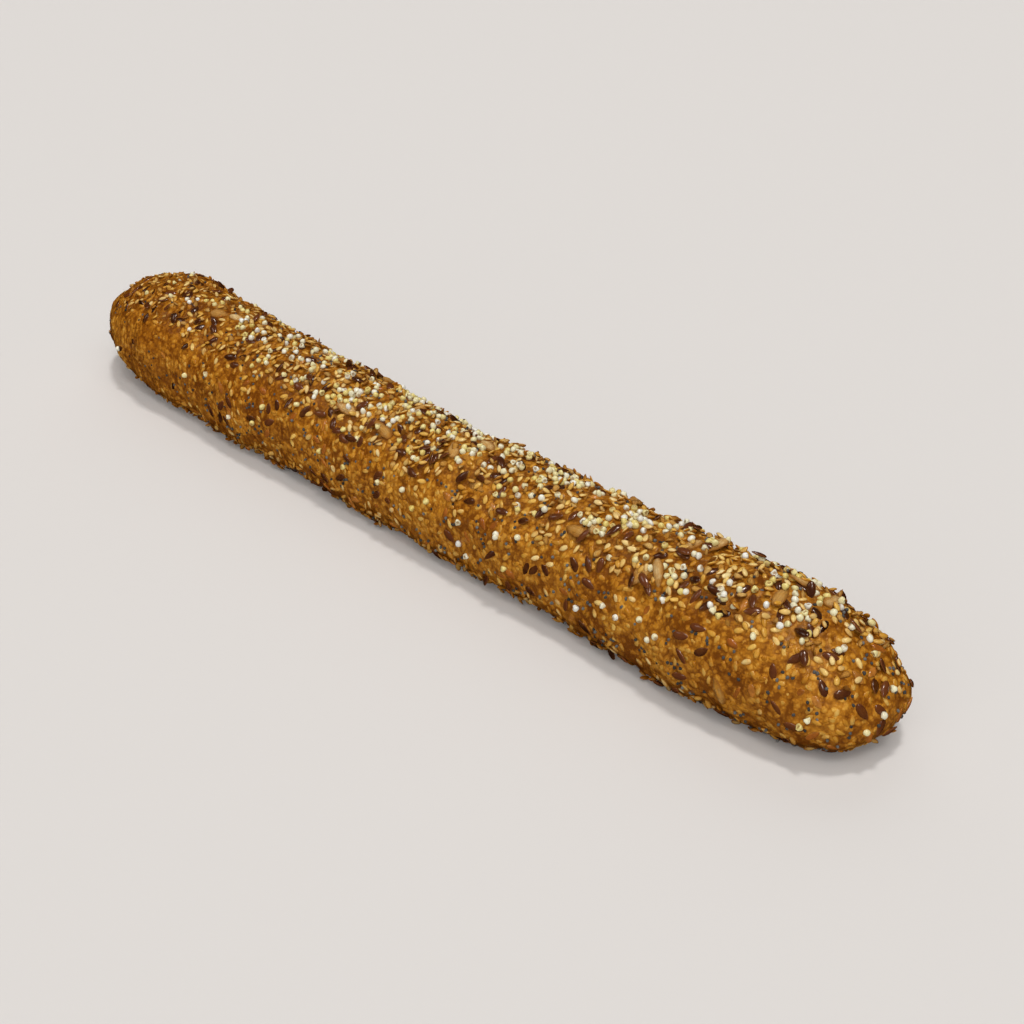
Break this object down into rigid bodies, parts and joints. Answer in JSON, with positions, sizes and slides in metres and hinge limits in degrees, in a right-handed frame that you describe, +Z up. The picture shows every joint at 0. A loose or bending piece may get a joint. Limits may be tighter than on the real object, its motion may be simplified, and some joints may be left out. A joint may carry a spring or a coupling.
{
  "type": "multigrain baguette",
  "caption": "Slim hand-rolled baguette with rounded ends and a flat sole, its crust coated in sesame, linseed, millet, poppy and sunflower seeds.",
  "frame": {"origin": "under the middle of the loaf's box, on the plane that its sole rests on", "axes": "+X along the loaf from the round heel towards the blunt nose, +Y across it, +Z up"},
  "size_m": [0.336, 0.0444, 0.0386],
  "materials": {
    "crust": "satin",
    "sesame": "satin",
    "brown_linseed": "gloss",
    "golden_linseed": "gloss",
    "millet": "satin",
    "poppy": "matte",
    "sunflower": "matte"
  },
  "bodies": {
    "root": {"loaf": "crust"}
  },
  "joints": []
}
